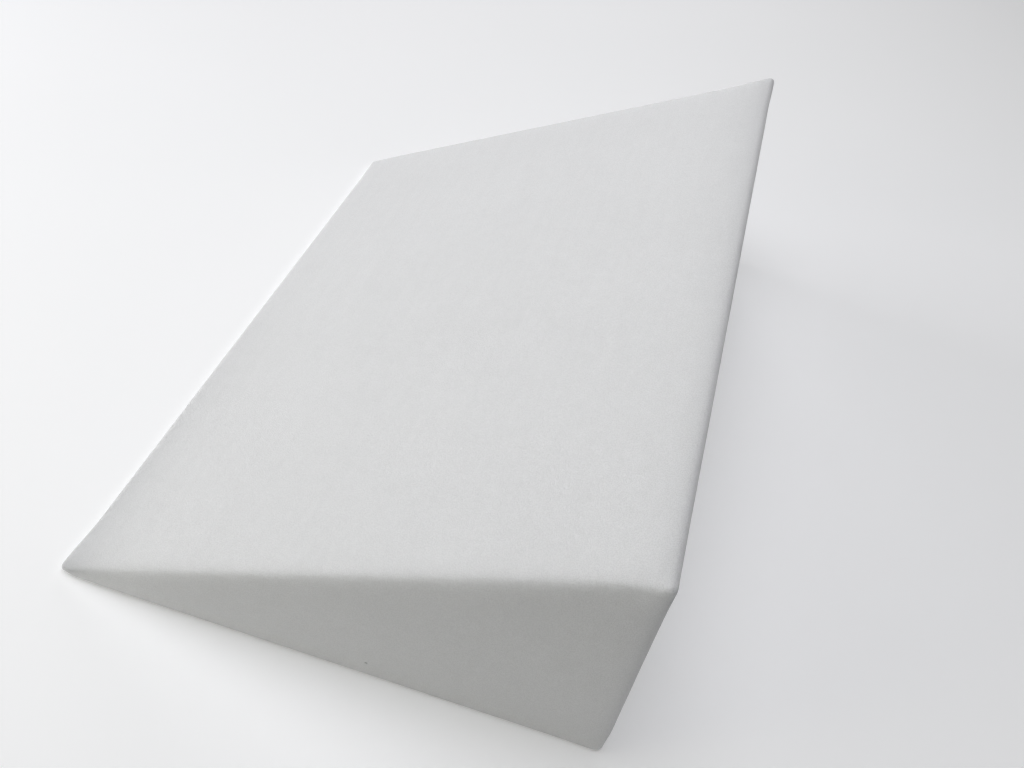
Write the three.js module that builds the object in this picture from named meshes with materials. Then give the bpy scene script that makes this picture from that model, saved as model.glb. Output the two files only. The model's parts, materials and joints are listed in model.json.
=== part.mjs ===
// A foam wedge pillow: one solid block of soft white foam, cut to a long right-angled wedge.
// Millimetres, +Z up. The origin is the middle of the base, where the block rests on the bed.
// +X runs from the thin front edge to the upright back, and Y runs along the width.
import * as THREE from 'three';
import { mergeVertices } from 'three/addons/utils/BufferGeometryUtils.js';

// Outer size of the block.
const LENGTH = 600;
const WIDTH = 900;
const HEIGHT = 300;

// The cut edges are soft: the thin edge is the tightest, the heel at the floor is the roundest.
const TIP_RADIUS = 5;
const RIDGE_RADIUS = 6;
const HEEL_RADIUS = 10;
const SIDE_RADIUS = 5;
const SMALLEST_RADIUS = 0.4;

// The faces swell a little away from their edges and are flat in the middle.
const SLOPE_CROWN = 2;
const BACK_CROWN = 1.5;
const SIDE_CROWN = 1.5;
const CROWN_REACH = 60;

// How finely curves and faces are divided.
const ARC_STEPS = 7;
const SHOULDER_STEPS = [0, 0.12, 0.28, 0.48, 0.72, 1];
const WIDTH_MIDDLE_STEPS = 5;
const SLOPE_MIDDLE_STEPS = 3;
const BACK_MIDDLE_STEPS = 1;
const BASE_MIDDLE_STEPS = 3;

// The colour and finish of the foam.
const FOAM_COLOUR = 0xe4e4e1;
const FOAM_ROUGHNESS = 0.95;

// The crowned back and side faces reach the outer size, so their edges lie a crown inside it.
const backX = LENGTH / 2 - BACK_CROWN;
const frontX = -LENGTH / 2;
const sideY = WIDTH / 2 - SIDE_CROWN;

// The slope is the line that touches the rounded thin edge and the rounded ridge from above.
const tipCentre = new THREE.Vector2(frontX + TIP_RADIUS, TIP_RADIUS);
const ridgeCentre = new THREE.Vector2(backX - RIDGE_RADIUS, HEIGHT - RIDGE_RADIUS);
const centreLine = ridgeCentre.clone().sub(tipCentre);
const slopeAngle = centreLine.angle() + Math.acos((TIP_RADIUS - RIDGE_RADIUS) / centreLine.length());

// The unit vector that points at an angle, in the plane of the section.
function unitAt(angle) {
  return new THREE.Vector2(Math.cos(angle), Math.sin(angle));
}

// Each side of the section is a line, given by the angle of its outward normal and its distance.
function sideLine(angle, pointOnLine, crown, middleSteps) {
  const normal = unitAt(angle);
  return { angle, normal, distance: normal.dot(pointOnLine), crown, middleSteps };
}

const slopePoint = tipCentre.clone().addScaledVector(unitAt(slopeAngle), TIP_RADIUS);
const back = sideLine(0, new THREE.Vector2(backX, 0), BACK_CROWN, BACK_MIDDLE_STEPS);
const slope = sideLine(slopeAngle, slopePoint, SLOPE_CROWN, SLOPE_MIDDLE_STEPS);
const base = sideLine((3 * Math.PI) / 2, new THREE.Vector2(0, 0), 0, BASE_MIDDLE_STEPS);

// The corners of the section in order round it, each between the side before and the side after.
const corners = [
  { before: base, after: back, radius: HEEL_RADIUS },
  { before: back, after: slope, radius: RIDGE_RADIUS },
  { before: slope, after: base, radius: TIP_RADIUS },
];

// How far a crowned face has risen at a distance from its edge, from 0 at the edge to 1 inside.
function swell(distance) {
  const share = Math.min(Math.max(distance / CROWN_REACH, 0), 1);
  return 1 - (1 - share) ** 2;
}

// Where two side lines meet once both have moved inwards.
function meetingPoint(first, second, inset) {
  const a = first.normal;
  const b = second.normal;
  const cross = a.x * b.y - a.y * b.x;
  const p = first.distance - inset;
  const q = second.distance - inset;
  return new THREE.Vector2((p * b.y - q * a.y) / cross, (q * a.x - p * b.x) / cross);
}

// The angle by which a crowned face leans at its edge, so that the rounding stops that much short.
function leanAtEdge(crown) {
  return Math.atan((2 * crown) / CROWN_REACH);
}

// The rounded corner of a section that lies inset inside the outline.
function cornerArc(corner, inset) {
  const radius = Math.max(corner.radius - inset, SMALLEST_RADIUS);
  const centre = meetingPoint(corner.before, corner.after, inset + radius);
  const fullTurn = corner.after.angle < corner.before.angle ? 2 * Math.PI : 0;
  const from = corner.before.angle + leanAtEdge(corner.before.crown);
  const to = corner.after.angle + fullTurn - leanAtEdge(corner.after.crown);
  const points = [];
  for (let step = 0; step <= ARC_STEPS; step += 1) {
    const angle = from + ((to - from) * step) / ARC_STEPS;
    points.push(unitAt(angle).multiplyScalar(radius).add(centre));
  }
  return points;
}

// Distances along a stretch of the given length: close together near both ends, even between.
function stationsAlong(length, middleSteps) {
  const reach = Math.min(CROWN_REACH, length / 3);
  const near = SHOULDER_STEPS.map((share) => share * reach);
  const middle = [];
  for (let step = 1; step < middleSteps; step += 1) {
    middle.push(reach + ((length - 2 * reach) * step) / middleSteps);
  }
  const far = near.map((distance) => length - distance).reverse();
  return [...near, ...middle, ...far];
}

// The section's outline as a ring of points, with the faces swollen by a share of their crown.
function sectionRing(inset, crownShare) {
  const arcs = corners.map((corner) => cornerArc(corner, inset));
  const ring = [];
  arcs.forEach((arc, index) => {
    const start = arc[ARC_STEPS];
    const end = arcs[(index + 1) % arcs.length][0];
    const side = corners[index].after;
    const length = start.distanceTo(end);
    ring.push(...arc.slice(0, ARC_STEPS));
    for (const along of stationsAlong(length, side.middleSteps).slice(0, -1)) {
      const rise = side.crown * crownShare * swell(Math.min(along, length - along));
      ring.push(start.clone().lerp(end, along / length).addScaledVector(side.normal, rise));
    }
  });
  return ring;
}

// Rings across the width: rounded at each side edge, swelling inwards, even in the middle.
function ringsAcrossWidth() {
  const rings = [];
  const flatHalf = sideY - SIDE_RADIUS;
  const firstTurn = leanAtEdge(SIDE_CROWN);
  const lastTurn = Math.PI / 2 - leanAtEdge(SLOPE_CROWN);
  for (let step = 0; step < ARC_STEPS; step += 1) {
    const turn = firstTurn + ((lastTurn - firstTurn) * step) / ARC_STEPS;
    const inset = SIDE_RADIUS * (1 - Math.sin(turn));
    const y = -flatHalf - SIDE_RADIUS * Math.cos(turn);
    rings.push({ y, inset, points: sectionRing(inset, 0) });
  }
  for (const along of stationsAlong(2 * flatHalf, WIDTH_MIDDLE_STEPS)) {
    const edgeDistance = Math.min(along, 2 * flatHalf - along);
    rings.push({ y: along - flatHalf, inset: 0, points: sectionRing(0, swell(edgeDistance)) });
  }
  const closing = rings.slice(0, ARC_STEPS).reverse();
  for (const ring of closing) {
    rings.push({ ...ring, y: -ring.y });
  }
  return rings;
}

// The point of the section that is as far from all three sides, and how far that is.
function sectionHeart(inset) {
  const [heel, ridge, tip] = corners.map((corner) => meetingPoint(corner.before, corner.after, inset));
  const oppositeHeel = ridge.distanceTo(tip);
  const oppositeRidge = tip.distanceTo(heel);
  const oppositeTip = heel.distanceTo(ridge);
  const centre = new THREE.Vector2()
    .addScaledVector(heel, oppositeHeel)
    .addScaledVector(ridge, oppositeRidge)
    .addScaledVector(tip, oppositeTip)
    .divideScalar(oppositeHeel + oppositeRidge + oppositeTip);
  return { centre, depth: back.distance - inset - centre.x };
}

// Rings that shrink towards the heart of an end face while the face swells outwards.
function ringsOfEndFace(outerRing, heart) {
  return SHOULDER_STEPS.slice(1).map((share) => {
    const fromEdge = share * CROWN_REACH;
    const towardsHeart = fromEdge / heart.depth;
    const points = outerRing.points.map((point) => point.clone().lerp(heart.centre, towardsHeart));
    return { rise: SIDE_CROWN * swell(fromEdge), points };
  });
}

// Collects vertices and triangles, and joins them into one closed geometry.
function wedgeGeometry() {
  const positions = [];
  const indices = [];

  function addRing(points, y) {
    const first = positions.length / 3;
    points.forEach((point) => positions.push(point.x, y, point.y));
    return first;
  }

  function joinRings(first, second, count) {
    for (let i = 0; i < count; i += 1) {
      const next = (i + 1) % count;
      indices.push(first + i, second + next, first + next);
      indices.push(first + i, second + i, second + next);
    }
  }

  const bodyRings = ringsAcrossWidth();
  const nearEnd = bodyRings[0];
  const heart = sectionHeart(nearEnd.inset);
  const endRings = ringsOfEndFace(nearEnd, heart);
  const count = nearEnd.points.length;

  const rings = [
    ...[...endRings].reverse().map((ring) => ({ ...ring, y: nearEnd.y - ring.rise })),
    ...bodyRings,
    ...endRings.map((ring) => ({ ...ring, y: -nearEnd.y + ring.rise })),
  ];
  const starts = rings.map((ring) => addRing(ring.points, ring.y));
  for (let i = 0; i + 1 < starts.length; i += 1) {
    joinRings(starts[i], starts[i + 1], count);
  }

  // The flat heart of each end face is a fan round its middle.
  const last = starts[starts.length - 1];
  const nearMiddle = addRing([heart.centre], rings[0].y);
  const farMiddle = addRing([heart.centre], rings[rings.length - 1].y);
  for (let i = 0; i < count; i += 1) {
    const next = (i + 1) % count;
    indices.push(nearMiddle, i, next);
    indices.push(farMiddle, last + next, last + i);
  }

  const geometry = new THREE.BufferGeometry();
  geometry.setAttribute('position', new THREE.Float32BufferAttribute(positions, 3));
  geometry.setIndex(indices);
  const merged = mergeVertices(geometry);
  merged.computeVertexNormals();
  return merged;
}

const foam = new THREE.MeshStandardMaterial({
  color: FOAM_COLOUR,
  roughness: FOAM_ROUGHNESS,
  metalness: 0,
});

const wedge = new THREE.Mesh(wedgeGeometry(), foam);
wedge.name = 'foam_wedge';

const pillow = new THREE.Group();
pillow.name = 'wedge_pillow';
pillow.add(wedge);

export default pillow;
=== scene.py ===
# %% [markdown]
# # A foam wedge pillow
# The pillow is one block of soft white foam without a cover. A long blade cut it corner to corner,
# so it rises from a thin front edge, the nose, to an upright back. The edges were left by the
# blade and have gone a little round, and the faces swell slightly inside them.
#
# We make it as the maker does: cut a block, soften its edges one by one, let the faces swell and
# then let the corners settle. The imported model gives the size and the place, so we load it first.

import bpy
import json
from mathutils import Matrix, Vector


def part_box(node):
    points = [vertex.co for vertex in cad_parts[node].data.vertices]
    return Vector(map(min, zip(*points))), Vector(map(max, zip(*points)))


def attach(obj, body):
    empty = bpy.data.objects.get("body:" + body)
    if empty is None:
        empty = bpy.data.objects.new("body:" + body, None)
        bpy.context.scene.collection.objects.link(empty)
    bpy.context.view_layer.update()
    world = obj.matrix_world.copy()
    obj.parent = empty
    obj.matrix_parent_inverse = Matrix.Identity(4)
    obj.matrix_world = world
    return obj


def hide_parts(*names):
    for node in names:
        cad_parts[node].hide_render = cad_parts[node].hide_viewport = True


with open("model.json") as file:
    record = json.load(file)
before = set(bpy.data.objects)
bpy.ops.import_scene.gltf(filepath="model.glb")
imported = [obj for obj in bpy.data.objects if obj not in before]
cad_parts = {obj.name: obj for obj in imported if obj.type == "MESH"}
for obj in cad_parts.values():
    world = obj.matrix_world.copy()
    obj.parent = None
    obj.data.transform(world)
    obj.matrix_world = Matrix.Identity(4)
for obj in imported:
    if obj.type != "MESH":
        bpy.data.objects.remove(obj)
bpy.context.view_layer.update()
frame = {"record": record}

# %% [markdown]
# ## The five planes
# A wedge is only five planes: base, slope, back and two ends. The slope's height and lean come from
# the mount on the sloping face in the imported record, and the rest from the node's box. The
# swollen faces reach that box in their middles, so each plane starts a little inside it. The back
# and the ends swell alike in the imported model. Here the near end swells more, as in the photograph.

# %% Find the planes
import math

import bmesh
import bpy
from mathutils import Matrix, Vector

NODE = "foam_wedge"
MM = 0.001
TOUCH = 0.01 * MM
NEARLY_ONE = 0.999
SLOPE_SWELL = 2.0 * MM
UPRIGHT_SWELL = 1.5 * MM
NEAR_SWELL = 3.0 * MM

low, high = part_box(NODE)
mounts = {mount["name"]: mount for mount in frame["record"]["mounts"]}
slope_mount = mounts["support_slope"]
slope_normal = Vector(slope_mount["axis"]).normalized()
slope_point = Vector(slope_mount["pos_m"]) - slope_normal * SLOPE_SWELL
front_x = low.x
back_x = high.x - UPRIGHT_SWELL
side_y = high.y - UPRIGHT_SWELL


def slope_height(x):
    """The height of the slope's plane above the floor at a place between front and back."""
    return slope_point.z - (x - slope_point.x) * slope_normal.x / slope_normal.z


nose_height = slope_height(front_x)
ridge_height = slope_height(back_x)
lean = math.atan2(-slope_normal.x, slope_normal.z)
print(f"nose {nose_height / MM:.1f} mm, ridge {ridge_height / MM:.1f} mm")
print(f"lean {math.degrees(lean):.1f} degrees")

# %% [markdown]
# ## Cutting the block
# The maker lays a block of foam down and draws one long blade through it. In Blender a cube is the
# block and Bisect is the blade: it cuts the mesh at a plane, drops what is outside and fills the
# cut. The block stays short at its two ends, because their rounded edges are grown outwards later.
# The end nearest the camera has softer edges than the far one.

# %% Cut the block to a wedge
NEAR_DEPTH = 7.0 * MM
FAR_DEPTH = 3.0 * MM
SPARE_HEIGHT = 20 * MM

near_end = -side_y + NEAR_DEPTH
far_end = side_y - FAR_DEPTH
block_top = high.z + SPARE_HEIGHT

bpy.ops.object.select_all(action="DESELECT")
bpy.ops.mesh.primitive_cube_add(
    size=1,
    location=((front_x + back_x) / 2, (near_end + far_end) / 2, block_top / 2),
    scale=(back_x - front_x, far_end - near_end, block_top),
)
foam = bpy.context.object
foam.name = "foam_block"
foam.data.name = "foam_block"
bpy.ops.object.transform_apply(location=True, rotation=False, scale=True)
bpy.ops.object.mode_set(mode="EDIT")
bpy.ops.mesh.select_all(action="SELECT")
bpy.ops.mesh.bisect(plane_co=slope_point, plane_no=slope_normal, use_fill=True, clear_outer=True)
print("faces of the cut block:", len(bmesh.from_edit_mesh(foam.data).faces))

# %% [markdown]
# ## Softening the four long edges
# Each long edge is rounded by Bevel. An edge is picked by its place, so we write a small helper
# that selects what passes a test. A bevel's offset is measured along the faces, so an edge with a
# narrow angle needs a longer offset for the same radius: radius / tan(half the angle).

# %% Round the long edges
HEEL_RADIUS = 10 * MM
RIDGE_RADIUS = 6.5 * MM
NOSE_RADIUS = 4.3 * MM
ROUND_STEPS = 8


def pick(kind, test):
    """Select only the verts, edges or faces of the edited mesh that pass the test."""
    kinds = ("verts", "edges", "faces")
    bpy.context.tool_settings.mesh_select_mode = [kind == name for name in kinds]
    bpy.ops.mesh.select_all(action="DESELECT")
    mesh = bmesh.from_edit_mesh(foam.data)
    chosen = [item for item in getattr(mesh, kind) if test(item)]
    for item in chosen:
        item.select_set(True)
    mesh.select_flush_mode()
    bmesh.update_edit_mesh(foam.data)
    return len(chosen)


def runs_along(x, z):
    """A test for the long edge that runs across the width at this x and z."""
    return lambda edge: all(abs(v.co.x - x) < TOUCH and abs(v.co.z - z) < TOUCH for v in edge.verts)


def offset_for(radius, angle):
    """How far along its faces a rounding of this radius starts from an edge with this angle."""
    return radius / math.tan(angle / 2)


square = math.pi / 2
heel_offset = offset_for(HEEL_RADIUS, square)
ridge_offset = offset_for(RIDGE_RADIUS, square - lean)
nose_top_offset = offset_for(NOSE_RADIUS, square + lean)
long_edges = {
    "heel": (back_x, 0, heel_offset),
    "ridge": (back_x, ridge_height, ridge_offset),
    "nose underside": (front_x, 0, NOSE_RADIUS),
    "nose top": (front_x, nose_height, nose_top_offset),
}
for name, (x, z, offset) in long_edges.items():
    found = pick("edges", runs_along(x, z))
    bpy.ops.mesh.bevel(
        offset=offset, segments=ROUND_STEPS, profile=0.5, affect="EDGES", clamp_overlap=False
    )
    print(f"{name}: {found} edge, rounded over {offset / MM:.1f} mm")

# %% [markdown]
# ## Softening the edges of the two ends
# An end is one flat face with a rounded outline. Inset moves its rim inwards and can push the face
# outwards at the same time. Done in small steps that follow a quarter of an oval, it grows a
# rounded edge all the way round the end. The steps together stay smaller than the radius of the
# nose, or the rim would fold over itself there.

# %% Round the ends
END_INSET = 3.8 * MM
NEAR_STEPS = 7
FAR_STEPS = 5


def end_face(sign):
    """A test for the flat faces of one end."""
    return lambda face: face.normal.y * sign > NEARLY_ONE


def round_end(sign, depth, steps):
    """Inset an end's face step by step along a quarter of an oval."""
    pick("faces", end_face(sign))
    inwards_before = 0
    outwards_before = 0
    for step in range(1, steps + 1):
        turn = square * step / steps
        inwards = END_INSET * (1 - math.cos(turn))
        outwards = depth * math.sin(turn)
        bpy.ops.mesh.inset(thickness=inwards - inwards_before, depth=outwards - outwards_before)
        inwards_before = inwards
        outwards_before = outwards


round_end(-1, NEAR_DEPTH, NEAR_STEPS)
round_end(1, FAR_DEPTH, FAR_STEPS)
print("faces with rounded edges:", len(bmesh.from_edit_mesh(foam.data).faces))

# %% [markdown]
# ## Slicing the faces
# The flat faces are still single polygons, and a polygon can't swell. We slice the block into a
# grid with the same blade, this time without taking anything off: close together near the edges,
# where the shape changes, and further apart in the middle. Merge by Distance then joins the points
# that came to lie on top of each other.

# %% Slice the faces into a grid
SHOULDER = [distance * MM for distance in (1.5, 3.5, 6, 9, 13, 18, 25, 34, 45, 58)]
PITCH = 12 * MM


def stations(start, end):
    """Places between start and end: close together near both, about a pitch apart between."""
    count = math.ceil((end - start - 2 * SHOULDER[-1]) / PITCH)
    first = start + SHOULDER[-1]
    step = (end - SHOULDER[-1] - first) / count
    middle = [first + step * i for i in range(1, count)]
    return [start + s for s in SHOULDER] + middle + [end - s for s in reversed(SHOULDER)]


def slice_at(point, normal):
    """Cut the selected faces along a plane and keep both sides."""
    bpy.ops.mesh.bisect(plane_co=point, plane_no=normal, threshold=TOUCH)


def upright_face(face):
    """The back, the ends and the rounded edges between them."""
    centre = face.calc_center_median()
    return abs(face.normal.y) > NEARLY_ONE or centre.x > back_x - END_INSET


nose_end = front_x + nose_top_offset
ridge_start = back_x - ridge_offset * math.cos(lean)
along_depth = stations(nose_end, ridge_start)
for x in along_depth:
    pick("faces", lambda face: True)
    slice_at((x, 0, 0), (1, 0, 0))
for y in stations(near_end, far_end):
    pick("faces", lambda face: True)
    slice_at((0, y, 0), (0, 1, 0))
end_top = END_INSET / math.cos(lean)
for z in (slope_height(x) - end_top for x in along_depth):
    if HEEL_RADIUS < z < ridge_height - ridge_offset:
        pick("faces", upright_face)
        slice_at((0, 0, z), (0, 0, 1))
pick("verts", lambda vertex: True)
bpy.ops.mesh.remove_doubles(threshold=2 * TOUCH)
bpy.ops.object.mode_set(mode="OBJECT")
print("faces in the grid:", len(foam.data.polygons))

# %% [markdown]
# ## Letting the faces swell
# Soft foam is pressed while it is cut, and swells back a little where nothing holds it. A cover
# of cloth would be blown up with the cloth simulation, but this is a cut block that keeps its
# shape, so a Displace modifier does it: it pushes each point out along its normal by a painted
# weight. The weight rises quickly just inside an edge and then slowly. The near end swells most,
# and the base stays flat, because it carries the block. First we need to know how far a point lies
# inside its face, and how much of the swell is reached there.

# %% Measure from the edges
SHOULDER_SHARE = 0.4
SHOULDER_REACH = 8 * MM
SWELL_REACH = 60 * MM
PARALLEL = 0.01

planes = {
    "base": (Vector((0, 0, 0)), Vector((0, 0, -1)), 0),
    "nose": (Vector((front_x, 0, 0)), Vector((-1, 0, 0)), 0),
    "slope": (slope_point, slope_normal, SLOPE_SWELL),
    "back": (Vector((back_x, 0, 0)), Vector((1, 0, 0)), UPRIGHT_SWELL),
    "near end": (Vector((0, -side_y, 0)), Vector((0, -1, 0)), NEAR_SWELL),
    "far end": (Vector((0, side_y, 0)), Vector((0, 1, 0)), UPRIGHT_SWELL),
}
rounding = {
    frozenset(("base", "back")): heel_offset,
    frozenset(("back", "slope")): ridge_offset,
    frozenset(("slope", "nose")): nose_top_offset,
}


def rim_width(name, other):
    """How wide the rounded edge between two faces is, measured along the first of them."""
    if name.endswith("end"):
        return END_INSET
    if other.endswith("end"):
        return NEAR_DEPTH if other == "near end" else FAR_DEPTH
    return rounding.get(frozenset((name, other)), 0)


def distance_inside(place, name):
    """How far a point of a flat face lies inside the face's nearest rounded edge."""
    normal = planes[name][1]
    nearest = SWELL_REACH
    for other, (point, other_normal, _) in planes.items():
        turn = normal.angle(other_normal)
        if other == name or math.pi - turn < PARALLEL:
            continue
        along = (point - place).dot(other_normal) / math.sin(turn)
        nearest = min(nearest, along - rim_width(name, other))
    return max(nearest, 0)


def swell_share(distance):
    """The part of its full swell that a face has reached at a distance from its edge."""
    quick = 1 - math.exp(-distance / SHOULDER_REACH)
    slow = 1 - (1 - min(distance / SWELL_REACH, 1)) ** 2
    return SHOULDER_SHARE * quick + (1 - SHOULDER_SHARE) * slow


print(f"share of the swell {SHOULDER_REACH / MM:.0f} mm inside: {swell_share(SHOULDER_REACH):.2f}")

# %% Swell the faces
swelling = foam.vertex_groups.new(name="swelling")
loose = foam.vertex_groups.new(name="free to move")
for vertex in foam.data.vertices:
    for name, (point, normal, swell) in planes.items():
        on_face = abs((vertex.co - point).dot(normal)) < TOUCH
        if on_face and swell:
            share = swell_share(distance_inside(vertex.co, name))
            swelling.add([vertex.index], share * swell / NEAR_SWELL, "REPLACE")
    loose.add([vertex.index], min(vertex.co.z / HEEL_RADIUS, 1), "REPLACE")


def displace(name, group, strength, texture=None, middle=0.0):
    """Push the foam's points along their normals and apply the result to the mesh."""
    bpy.ops.object.modifier_add(type="DISPLACE")
    modifier = foam.modifiers[-1]
    modifier.name = name
    modifier.vertex_group = group.name
    modifier.strength = strength
    modifier.mid_level = middle
    modifier.texture = texture
    modifier.texture_coords = "LOCAL"
    bpy.ops.object.modifier_apply(modifier=name)


displace("swelling", swelling, NEAR_SWELL)
print("height after swelling:", round(max(v.co.z for v in foam.data.vertices) / MM, 2), "mm")

# %% [markdown]
# ## The blade's wander
# A long blade never runs perfectly true in soft foam. A second Displace with a cloud texture moves
# the surface by a few tenths of a millimetre over a hand's width. It is too little to see as a
# dent, and just enough that a long edge or a highlight isn't ruler straight.

# %% Let the blade wander
WANDER = 0.5 * MM
WANDER_SIZE = 0.14

clouds = bpy.data.textures.new("blade wander", "CLOUDS")
clouds.noise_scale = WANDER_SIZE
clouds.noise_depth = 1
displace("wander", loose, WANDER, texture=clouds, middle=0.5)

# %% [markdown]
# ## Wearing the edges
# Handling has worn three edges rounder than their cut: the ridge, the near end's edge along the
# slope and its upright edge at the back. Smooth Vertices does that: it moves each picked point
# towards the middle of its neighbours, over and over. The passes start further and further from
# the ends of an edge, so that the wear fades out towards its corners. The edge along the slope is
# worn most, so it gets twice as many repeats.

# %% Wear the edges
WEAR_REACH = 14 * MM
WEAR_MARGINS = (12 * MM, 24 * MM, 40 * MM, 60 * MM)

worn_edges = {
    "slope edge": ("slope", "near end", ("nose", "back"), 10),
    "ridge": ("slope", "back", ("near end", "far end"), 5),
    "upright edge": ("back", "near end", ("base", "slope"), 5),
}


def depth_below(name, place):
    """How deep a point lies inside one of the wedge's planes."""
    point, normal, _ = planes[name]
    return (point - place).dot(normal)


def by_edge(first, second, limits, margin):
    """A test for the points round the edge of two faces, a margin away from the limiting faces."""
    return lambda v: (
        max(depth_below(first, v.co), depth_below(second, v.co)) < WEAR_REACH
        and min(depth_below(name, v.co) for name in limits) > margin
    )


bpy.ops.object.mode_set(mode="EDIT")
for name, (first, second, limits, repeats) in worn_edges.items():
    for margin in WEAR_MARGINS:
        count = pick("verts", by_edge(first, second, limits, margin))
        bpy.ops.mesh.vertices_smooth(factor=0.5, repeat=repeats)
    print(f"{name}: {count} points in the last pass")
bpy.ops.object.mode_set(mode="OBJECT")

# %% [markdown]
# ## Pressing the ridge
# The ridge has been pressed down a little by the backs that leant on it. Proportional editing
# does it: we move the points of the ridge and the foam beside them follows, most close by and
# less and less over the reach.

# %% Press the ridge
RIDGE_REACH = 60 * MM
RIDGE_MOVE = (0, 0, -1.0 * MM)


def pull(label, test, reach, move, falloff):
    """Move the points that pass a test, and fade the move out over the reach round them."""
    bpy.ops.object.mode_set(mode="EDIT")
    count = pick("verts", test)
    bpy.ops.transform.translate(
        value=move,
        orient_type="GLOBAL",
        use_proportional_edit=True,
        proportional_edit_falloff=falloff,
        proportional_size=reach,
    )
    bpy.ops.object.mode_set(mode="OBJECT")
    print(f"{label}: moved {count} points by {[round(m / MM, 1) for m in move]} mm")


def on_ridge(vertex):
    """A test for the rounded ridge."""
    return vertex.co.x > ridge_start - TOUCH and depth_below("slope", vertex.co) < RIDGE_RADIUS


pull("ridge", on_ridge, RIDGE_REACH, RIDGE_MOVE, "SHARP")

# %% [markdown]
# ## Settling the corners
# The corners tell one pillow from another. Where a corner was squeezed in packing, it springs back
# past its old place: the near end of the nose sticks out and lifts off the floor, and the far top
# corner stands up like a small ear. The others have moved by a few millimetres. A last, short
# move pushes the very tip of the near nose back in, because it was worn blunt. Each corner has a
# place, how far round it we take hold, how far the foam follows and how it moves. The last two are
# in millimetres.

# %% Settle the corners
CORNER_HOLD = 8 * MM
TIP_HOLD = 3 * MM
corners = {
    "near nose": ((front_x, -side_y, nose_height / 2), CORNER_HOLD, 70, (-2.8, -0.2, 1.4)),
    "far nose": ((front_x, side_y, nose_height / 2), CORNER_HOLD, 60, (-1.1, -3.1, 0)),
    "far ridge": ((back_x, side_y, high.z), CORNER_HOLD, 60, (0.6, 1.0, 2.8)),
    "near ridge": ((back_x, -side_y, high.z), CORNER_HOLD, 40, (0.2, -2.0, -1.4)),
    "near heel": ((back_x, -side_y, 0), CORNER_HOLD, 40, (-2.1, -0.4, 0)),
    "near nose tip": ((front_x, -side_y, nose_height / 2), TIP_HOLD, 12, (0.5, 2.4, 0.7)),
}


def around(place, reach):
    """A test for the points within a reach of a place."""
    return lambda vertex: (vertex.co - Vector(place)).length < reach


for name, (place, hold, reach, move) in corners.items():
    pull(name, around(place, hold), reach * MM, [m * MM for m in move], "SMOOTH")

# %% [markdown]
# ## A burst bubble
# One bubble in the foam was larger than the rest, and the cut opened it: a pit of about three
# millimetres low on the near end. We slice the face closely round it, turn the small face there
# into a circle with To Sphere, and push it inwards in two narrowing steps. Each step is a depth and
# how much the pit narrows there.

# %% Open the bubble
PIT_PLACE = Vector((48.3 * MM, -side_y - NEAR_SWELL, 30.2 * MM))
PIT_HALF = 2.4 * MM
PIT_RADIUS = 1.6 * MM
PIT_STEPS = ((1.2 * MM, 0.85), (1.6 * MM, 0.45))
PIT_SEARCH = 4 * PITCH
FACES_THE_CAMERA = -0.95


def near_pit(reach):
    """A test for the faces of the near end whose middle lies within a reach of the pit."""
    return lambda face: (
        face.normal.y < FACES_THE_CAMERA
        and (face.calc_center_median() - PIT_PLACE).length < reach
    )


bpy.ops.object.mode_set(mode="EDIT")
for shift in (-PIT_HALF, PIT_HALF):
    pick("faces", near_pit(PIT_SEARCH))
    slice_at(PIT_PLACE + Vector((shift, 0, 0)), (1, 0, 0))
    pick("faces", near_pit(PIT_SEARCH))
    slice_at(PIT_PLACE + Vector((0, 0, shift)), (0, 0, 1))
print("faces at the pit:", pick("faces", near_pit(PIT_HALF)))
bpy.ops.mesh.inset(thickness=PIT_HALF - PIT_RADIUS)
bpy.ops.mesh.subdivide(number_cuts=1)
bpy.ops.transform.tosphere(value=1)
for depth, scale in PIT_STEPS:
    bpy.ops.mesh.extrude_region_move(TRANSFORM_OT_translate={"value": (0, depth, 0)})
    bpy.ops.transform.resize(value=(scale, 1, scale))
bpy.ops.object.mode_set(mode="OBJECT")

# %% [markdown]
# ## Painted shade on the rims
# The shade where the rounded edges turn away from the light, and in the burst bubble, is painted into
# the foam's colour. It is an attribute: a number from 0 to 1 that each point carries for the material
# to read. Close to the three worn edges it is high and falls off within a centimetre. As painted shade
# it also darkens the near end's lower rim a little and fills the burst bubble. On the slope it fades
# over a few centimetres from the nose, strongest at its near end, and from the ridge, strongest at its
# far end. The values below say how dark the painted shade makes each place at its darkest, often as a
# pair for the two ends between which it changes.

# %% Paint the shade on the rims
EDGE_REACH = 6.5 * MM
BROAD_REACH = 33 * MM
PIT_SURROUND = 2 * PIT_HALF
PIT_LIP = 1 * MM - NEAR_SWELL
# How dark the painted shade gets at the ridge, the upright edge, the slope edge, the lower rim, the
# pit, the nose and beside the ridge.
RIDGE_FAR, RIDGE_NEAR = 0.3, 1.0
UPRIGHT_LOW, UPRIGHT_HIGH = 0.35, 0.9
SLOPE_EDGE = 0.27
LOWER_RIM = 0.14
PIT_SHADE = 0.85
NOSE_FAR, NOSE_NEAR = 0.17, 0.68
BY_RIDGE_FAR, BY_RIDGE_NEAR = 0.37, 0.06


def blend(start, end, share):
    """A value between start and end."""
    return start + (end - start) * share


def fade(name, place, reach):
    """1 on one of the wedge's planes, falling towards 0 over a reach below it."""
    return math.exp(-max(depth_below(name, place), 0) / reach)


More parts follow.
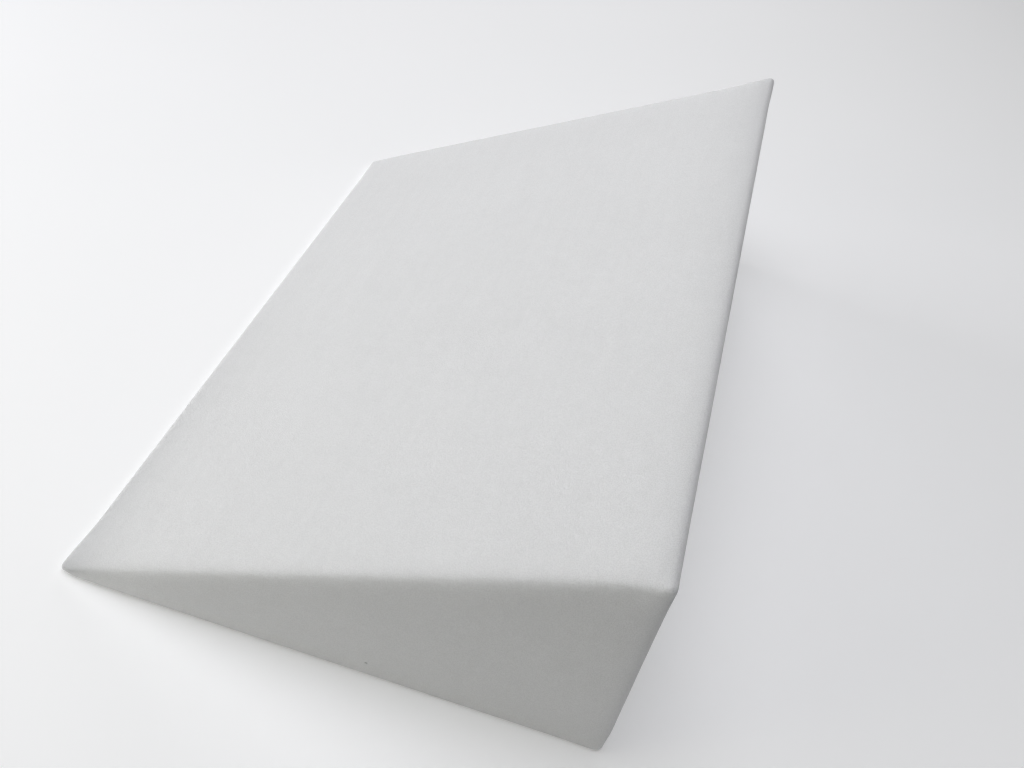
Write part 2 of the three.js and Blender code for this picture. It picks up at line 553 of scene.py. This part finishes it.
def handled(place):
    """How much painted shade a point carries, from 0 to 1."""
    nearness = (side_y - place.y) / (2 * side_y)
    by_slope = fade("slope", place, EDGE_REACH)
    by_back = fade("back", place, EDGE_REACH)
    by_end = fade("near end", place, EDGE_REACH)
    ridge = by_back * by_slope * blend(RIDGE_FAR, RIDGE_NEAR, nearness)
    upright = by_back * by_end * blend(UPRIGHT_LOW, UPRIGHT_HIGH, place.z / high.z)
    slope_edge = by_slope * by_end * SLOPE_EDGE
    lower_rim = fade("base", place, EDGE_REACH) * by_end * LOWER_RIM
    in_pit = (place - PIT_PLACE).length < PIT_SURROUND and depth_below("near end", place) > PIT_LIP
    pit = PIT_SHADE if in_pit else 0
    nose_shade_strength = blend(NOSE_FAR, NOSE_NEAR, nearness**2)
    ridge_shade_strength = blend(BY_RIDGE_FAR, BY_RIDGE_NEAR, nearness)
    broad_nose = fade("nose", place, BROAD_REACH) * nose_shade_strength
    broad_ridge = fade("back", place, BROAD_REACH) * ridge_shade_strength
    edges = max(ridge, upright, slope_edge, lower_rim, pit)
    return min(edges + by_slope * (broad_nose + broad_ridge), 1)


# Each point carries its painted shade, which the material turns into a darker grey.
painted_shade_values = foam.data.attributes.new("handled", "FLOAT", "POINT")
for vertex in foam.data.vertices:
    painted_shade_values.data[vertex.index].value = handled(vertex.co)
print("painted", len(painted_shade_values.data), "points")

# %% [markdown]
# ## Shading and the frame
# Smooth shading hides the facets of the rounded edges. The piece then takes the place of the plain
# solid: it rides on the same body and replaces the solid's node.

# %% Finish the foam piece
bpy.ops.object.select_all(action="DESELECT")
foam.select_set(True)
bpy.context.view_layer.objects.active = foam
bpy.ops.object.shade_smooth()
foam.vertex_groups.clear()
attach(foam, "root")
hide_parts(NODE)
print("triangles in the foam piece:", sum(len(p.vertices) - 2 for p in foam.data.polygons))

# %% [markdown]
# ## The foam's material
# Foam is a froth of tiny open cells. From a step away it is an even, chalky white, and close up it
# is full of fine hollows. The cells are a Voronoi pattern about a millimetre across that darkens
# the colour in its hollows and feeds a Bump node. Slower noises keep the white from being flat:
# one is broad, one is patchy, and one is drawn out along the width, like the marks of the blade.
# Light enters foam and comes out again a centimetre or two further on, so the material is fully
# subsurface. A group holds the slow noise, because the floor uses it too. Each mottle is a pair: how
# many times it repeats in a metre, and how dark its darkest patches are.

# %% A group for soft mottling
NOISE_LOW = 0.3
NOISE_HIGH = 0.7
NOISE_DETAIL = 3


def mottle_group():
    """A node group that gives a shade close to 1 that wanders softly over the surface."""
    group = bpy.data.node_groups.new("soft mottle", "ShaderNodeTree")
    group.interface.new_socket("Vector", in_out="INPUT", socket_type="NodeSocketVector")
    group.interface.new_socket("Scale", in_out="INPUT", socket_type="NodeSocketFloat")
    group.interface.new_socket("Darkest", in_out="INPUT", socket_type="NodeSocketFloat")
    group.interface.new_socket("Shade", in_out="OUTPUT", socket_type="NodeSocketFloat")
    start = group.nodes.new("NodeGroupInput")
    end = group.nodes.new("NodeGroupOutput")
    noise = group.nodes.new("ShaderNodeTexNoise")
    noise.inputs["Detail"].default_value = NOISE_DETAIL
    spread = group.nodes.new("ShaderNodeMapRange")
    spread.inputs["From Min"].default_value = NOISE_LOW
    spread.inputs["From Max"].default_value = NOISE_HIGH
    spread.inputs["To Max"].default_value = 1
    group.links.new(start.outputs["Vector"], noise.inputs["Vector"])
    group.links.new(start.outputs["Scale"], noise.inputs["Scale"])
    group.links.new(noise.outputs["Fac"], spread.inputs["Value"])
    group.links.new(start.outputs["Darkest"], spread.inputs["To Min"])
    group.links.new(spread.outputs["Result"], end.inputs["Shade"])
    return group


soft_mottle = mottle_group()
print("made the group", soft_mottle.name)

# %% Helpers for building a material


def new_material(name):
    """An empty material with its Principled shader and an Object coordinate node."""
    material = bpy.data.materials.new(name)
    material.use_nodes = True
    nodes = material.node_tree.nodes
    shader = nodes["Principled BSDF"]
    place = nodes.new("ShaderNodeTexCoord")
    return material, nodes, material.node_tree.links, shader, place.outputs["Object"]


def add_mottle(nodes, links, place, scale, darkest):
    """Place the mottle group in a material and give back its shade."""
    node = nodes.new("ShaderNodeGroup")
    node.node_tree = soft_mottle
    node.inputs["Scale"].default_value = scale
    node.inputs["Darkest"].default_value = darkest
    links.new(place, node.inputs["Vector"])
    return node.outputs["Shade"]


def times(nodes, links, first, second):
    """A Math node that multiplies a socket by another socket or by a number."""
    node = nodes.new("ShaderNodeMath")
    node.operation = "MULTIPLY"
    links.new(first, node.inputs[0])
    if isinstance(second, float):
        node.inputs[1].default_value = second
    else:
        links.new(second, node.inputs[1])
    return node.outputs["Value"]


def tinted(nodes, links, colour, shade):
    """A colour, fixed or from a socket, darkened by a shade that varies over the surface."""
    node = nodes.new("ShaderNodeVectorMath")
    node.operation = "SCALE"
    if isinstance(colour, tuple):
        node.inputs["Vector"].default_value = colour
    else:
        links.new(colour, node.inputs["Vector"])
    links.new(shade, node.inputs["Scale"])
    return node.outputs["Vector"]


print("the helpers are ready")

# %% The foam's cells and blade marks
CELLS_PER_METRE = 950
CELL_MIDDLE = 0.1
CELL_WALL = 0.6
HOLLOW_SHADE = 0.86
BLADE_STRETCH = (1, 0.06, 1)
BLADE_MOTTLE = (110, 0.985)


def blade_marks(nodes, links, place):
    """A noise drawn out along the width."""
    mapping = nodes.new("ShaderNodeMapping")
    mapping.inputs["Scale"].default_value = BLADE_STRETCH
    links.new(place, mapping.inputs["Vector"])
    return add_mottle(nodes, links, mapping.outputs["Vector"], *BLADE_MOTTLE)


def open_cells(nodes, links, place):
    """The froth of cells: the distance from each cell's middle, and a shade for its hollows."""
    cells = nodes.new("ShaderNodeTexVoronoi")
    cells.inputs["Scale"].default_value = CELLS_PER_METRE
    links.new(place, cells.inputs["Vector"])
    hollow = nodes.new("ShaderNodeMapRange")
    hollow.inputs["From Min"].default_value = CELL_MIDDLE
    hollow.inputs["From Max"].default_value = CELL_WALL
    hollow.inputs["To Min"].default_value = HOLLOW_SHADE
    hollow.inputs["To Max"].default_value = 1
    links.new(cells.outputs["Distance"], hollow.inputs["Value"])
    return cells.outputs["Distance"], hollow.outputs["Result"]


print(f"cells about {1 / CELLS_PER_METRE / MM:.1f} mm across")

# %% The foam material
FOAM_WHITE = (0.785, 0.785, 0.785)
# The grey that the painted shade darkens the foam's white towards.
PAINTED_SHADE_GREY = (0.43, 0.436, 0.445)
BROAD_MOTTLE = (5, 0.98)
PATCHY_MOTTLE = (60, 0.985)
FOAM_ROUGHNESS = 0.95
FOAM_SHINE = 0.2
LIGHT_DEPTH = 20 * MM
BUMP_STRENGTH = 0.6
BUMP_DEPTH = 0.5 * MM


def foam_material():
    """White open-cell foam, darkened near its rims by painted shade."""
    material, nodes, links, shader, place = new_material("white foam")
    broad = add_mottle(nodes, links, place, *BROAD_MOTTLE)
    patchy = add_mottle(nodes, links, place, *PATCHY_MOTTLE)
    marks = blade_marks(nodes, links, place)
    height, hollow = open_cells(nodes, links, place)
    shade = times(nodes, links, times(nodes, links, broad, patchy), times(nodes, links, marks, hollow))

    # The painted shade attribute mixes the white towards grey near the rims, the pit, the nose and the
    # ridge.
    painted_shade_reader = nodes.new("ShaderNodeAttribute")
    painted_shade_reader.attribute_name = "handled"
    shade_mix = nodes.new("ShaderNodeMix")
    shade_mix.data_type = "RGBA"
    shade_mix.inputs["A"].default_value = (*FOAM_WHITE, 1)
    shade_mix.inputs["B"].default_value = (*PAINTED_SHADE_GREY, 1)
    links.new(painted_shade_reader.outputs["Fac"], shade_mix.inputs["Factor"])
    links.new(tinted(nodes, links, shade_mix.outputs["Result"], shade), shader.inputs["Base Color"])

    links.new(times(nodes, links, patchy, FOAM_ROUGHNESS), shader.inputs["Roughness"])
    shader.inputs["Specular IOR Level"].default_value = FOAM_SHINE
    shader.inputs["Subsurface Weight"].default_value = 1.0
    shader.inputs["Subsurface Radius"].default_value = (1.0, 1.0, 1.0)
    shader.inputs["Subsurface Scale"].default_value = LIGHT_DEPTH
    bump = nodes.new("ShaderNodeBump")
    bump.inputs["Strength"].default_value = BUMP_STRENGTH
    bump.inputs["Distance"].default_value = BUMP_DEPTH
    links.new(height, bump.inputs["Height"])
    links.new(bump.outputs["Normal"], shader.inputs["Normal"])
    return material


foam.data.materials.clear()
foam.data.materials.append(foam_material())
print("the foam's material is", foam.data.materials[0].name)

# %% [markdown]
# ## The floor
# The pillow lies on a plain pale floor. It is a single large plane, a hair below the base so that the
# two surfaces don't fight. It glows a little, like a photographer's light table, so that a white
# pillow stands out against it.

# %% Lay the floor
FLOOR_SIZE = 12
FLOOR_WHITE = (0.945, 0.945, 0.95)
GLOW_WHITE = (1.0, 1.0, 1.0)
FLOOR_GLOW = 0.14
FLOOR_GAP = 0.2 * MM
FLOOR_MOTTLE = (3, 0.99)
FLOOR_ROUGHNESS = 0.8
FLOOR_SHINE = 0.2

bpy.ops.object.select_all(action="DESELECT")
bpy.ops.mesh.primitive_plane_add(size=FLOOR_SIZE, location=(0, 0, -FLOOR_GAP))
floor = bpy.context.object
floor.name = "studio_floor"


def floor_material():
    """A pale, even floor with a faint glow."""
    material, nodes, links, shader, place = new_material("pale floor")
    shade = add_mottle(nodes, links, place, *FLOOR_MOTTLE)
    links.new(tinted(nodes, links, FLOOR_WHITE, shade), shader.inputs["Base Color"])
    shader.inputs["Roughness"].default_value = FLOOR_ROUGHNESS
    shader.inputs["Specular IOR Level"].default_value = FLOOR_SHINE
    shader.inputs["Emission Color"].default_value = (*GLOW_WHITE, 1)
    shader.inputs["Emission Strength"].default_value = FLOOR_GLOW
    return material


floor.data.materials.append(floor_material())

# %% [markdown]
# ## The light
# Area lights stand for a bright, overcast day indoors. A large one is above, one is a window on the
# left and one a window behind, so the slope is bright, and brightest towards the nose. A small, low
# one on the near left keeps the near end from going dull. Each softbox has a place, a size in
# metres, a power in watts and a colour: the windows' light is a little cool and the room's own
# light a little warm.

# %% Place the softboxes
COOL = (0.995, 1.0, 1.045)
WARM = (1.0, 1.0, 0.84)
PILLOW_MIDDLE = Vector((0, 0, 0.1))

softboxes = {
    "top": ((0.2, -0.2, 3.2), 2.5, 56.5, COOL),
    "window_left": ((-3.0, 0.25, 1.0), 1.8, 40.5, COOL),
    "back": ((-0.5, 3.2, 1.2), 1.8, 17.8, COOL),
    "near_left": ((-1.6, -1.3, 0.9), 0.8, 5.0, WARM),
}


def softbox(name, place, size, watts, colour):
    """A square area light aimed at the middle of the pillow."""
    bpy.ops.object.light_add(type="AREA", location=place)
    light = bpy.context.object
    light.name = name
    light.data.size = size
    light.data.energy = watts
    light.data.color = colour
    aim = PILLOW_MIDDLE - Vector(place)
    light.rotation_euler = aim.to_track_quat("-Z", "Y").to_euler()
    print(f"{name}: {watts} W from {size} m across")


for name, (place, size, watts, colour) in softboxes.items():
    softbox(name, place, size, watts, colour)

# %% [markdown]
# ## The room
# The world stands for the room's own light. It glows on the window's side and fades to dark on the
# other, so the near end and the ridge fall into a soft, even shade. The Light Path node tells a ray
# from the camera from the rest, so a camera that looks past the floor sees a pale backdrop instead.

# %% Light the room
WHITE = (1.0, 1.0, 1.0)
WORLD_LEFT = 0.15
WORLD_RIGHT = 0.0
BACKDROP = 0.6


def room_light():
    """A world that is brighter on the window's side, with a pale backdrop for the camera."""
    world = bpy.data.worlds.new("studio")
    world.use_nodes = True
    nodes = world.node_tree.nodes
    direction = nodes.new("ShaderNodeTexCoord")
    split = nodes.new("ShaderNodeSeparateXYZ")
    across = nodes.new("ShaderNodeMapRange")
    across.inputs["From Min"].default_value = -1
    across.inputs["From Max"].default_value = 1
    across.inputs["To Min"].default_value = WORLD_LEFT
    across.inputs["To Max"].default_value = WORLD_RIGHT
    background = nodes["Background"]
    background.inputs["Color"].default_value = (*WARM, 1)
    backdrop = nodes.new("ShaderNodeBackground")
    backdrop.inputs["Color"].default_value = (*WHITE, 1)
    backdrop.inputs["Strength"].default_value = BACKDROP
    path = nodes.new("ShaderNodeLightPath")
    choice = nodes.new("ShaderNodeMixShader")
    links = world.node_tree.links
    links.new(direction.outputs["Generated"], split.inputs["Vector"])
    links.new(split.outputs["X"], across.inputs["Value"])
    links.new(across.outputs["Result"], background.inputs["Strength"])
    links.new(path.outputs["Is Camera Ray"], choice.inputs["Fac"])
    links.new(background.outputs["Background"], choice.inputs[1])
    links.new(backdrop.outputs["Background"], choice.inputs[2])
    links.new(choice.outputs["Shader"], nodes["World Output"].inputs["Surface"])
    return world


bpy.context.scene.world = room_light()
bpy.context.scene.view_settings.view_transform = "Standard"
print("the world is", bpy.context.scene.world.name)

# %% [markdown]
# ## The camera
# The photograph was taken from above the near end, with the camera held a little aslant. Its
# place, its three angles and its lens were worked out from the outline of the pillow.

# %% Place the camera
CAMERA_PLACE = (0.2133, -0.8713, 0.8697)
CAMERA_AZIMUTH = math.radians(9.927)
CAMERA_ELEVATION = math.radians(47.152)
CAMERA_ROLL = math.radians(9.105)
FOCAL_PIXELS = 916.9
CENTRE_PIXEL = (494.1, 434.0)
FRAME_PIXELS = (1024, 768)
SENSOR_WIDTH = 36

bpy.ops.object.camera_add(location=CAMERA_PLACE)
camera = bpy.context.object
camera.name = "camera"
turn = Matrix.Rotation(CAMERA_AZIMUTH, 4, "Z")
tilt = Matrix.Rotation(square - CAMERA_ELEVATION, 4, "X")
roll = Matrix.Rotation(CAMERA_ROLL, 4, "Z")
camera.matrix_world = Matrix.Translation(CAMERA_PLACE) @ turn @ tilt @ roll
camera.data.sensor_width = SENSOR_WIDTH
camera.data.lens = FOCAL_PIXELS / FRAME_PIXELS[0] * SENSOR_WIDTH
camera.data.shift_x = (FRAME_PIXELS[0] / 2 - CENTRE_PIXEL[0]) / FRAME_PIXELS[0]
camera.data.shift_y = (CENTRE_PIXEL[1] - FRAME_PIXELS[1] / 2) / FRAME_PIXELS[0]
bpy.context.scene.camera = camera
print(f"lens {camera.data.lens:.1f} mm")

# %% [markdown]
# ## Finishing
# The finished piece has to stay inside the solid's box, give or take what soft foam may stand proud.

# %% Finish
import json
